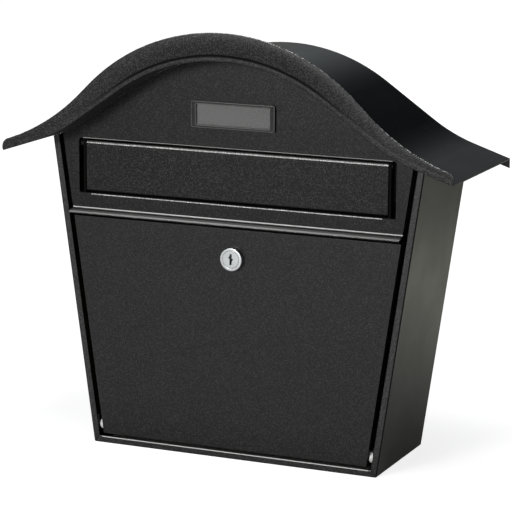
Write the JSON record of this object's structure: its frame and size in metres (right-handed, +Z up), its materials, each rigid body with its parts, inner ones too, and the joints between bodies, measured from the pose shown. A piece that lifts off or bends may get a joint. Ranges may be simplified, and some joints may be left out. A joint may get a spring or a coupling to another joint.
{
  "type": "letter box",
  "caption": "Wall-mounted sheet-steel letter box with a bell-shaped roof, a raised front fascia, an inward-swinging slot flap, a bottom-hinged door and a cam lock.",
  "frame": {"origin": "bottom centre of the overall box, on the surface that the floor stands on", "axes": "+X to the right seen from the front, +Y into the wall, +Z up"},
  "size_m": [0.42, 0.151, 0.3799],
  "materials": {
    "powder_coat": "fine grained black powder coat",
    "zinc_steel": "zinc plated",
    "bush_plastic": "moulded",
    "nickel": "satin nickel plate",
    "frame_plastic": "moulded, faintly grained",
    "clear_plastic": "clear",
    "card": "bare card"
  },
  "bodies": {
    "housing": {"housing_wrap": "powder_coat", "back_panel": "powder_coat", "roof_sheet": "powder_coat", "roof_fascia": "powder_coat", "front_plate": "powder_coat", "flap_rod": "zinc_steel", "flap_rod_cap": "zinc_steel", "hinge_bracket_left": "powder_coat", "hinge_bracket_right": "powder_coat", "hinge_bush_left": "bush_plastic", "hinge_bush_right": "bush_plastic", "nameplate_frame": "frame_plastic", "nameplate_window": "clear_plastic", "name_card": "card"},
    "door": {"door": "powder_coat", "hinge_pin_left": "zinc_steel", "hinge_pin_right": "zinc_steel", "lock_body": "nickel", "lock_nut": "zinc_steel"},
    "lock_barrel": {"lock_plug": "nickel", "lock_cam": "zinc_steel", "cam_washer": "zinc_steel", "cam_screw": "zinc_steel"},
    "flap": {"flap": "powder_coat"}
  },
  "joints": [
    {"name": "door_hinge", "type": "hinge", "parent": "housing", "child": "door", "pos_m": [0, -0.037, 0.016], "axis": [1, 0, 0], "range_deg": [0, 90]},
    {"name": "lock_turn", "type": "hinge", "parent": "door", "child": "lock_barrel", "pos_m": [0, -0.0445, 0.1807], "axis": [0, -1, 0], "range_deg": [0, 90]},
    {"name": "flap_hinge", "type": "hinge", "parent": "housing", "child": "flap", "pos_m": [0, -0.0417, 0.272], "axis": [1, 0, 0], "range_deg": [0, 75]}
  ]
}
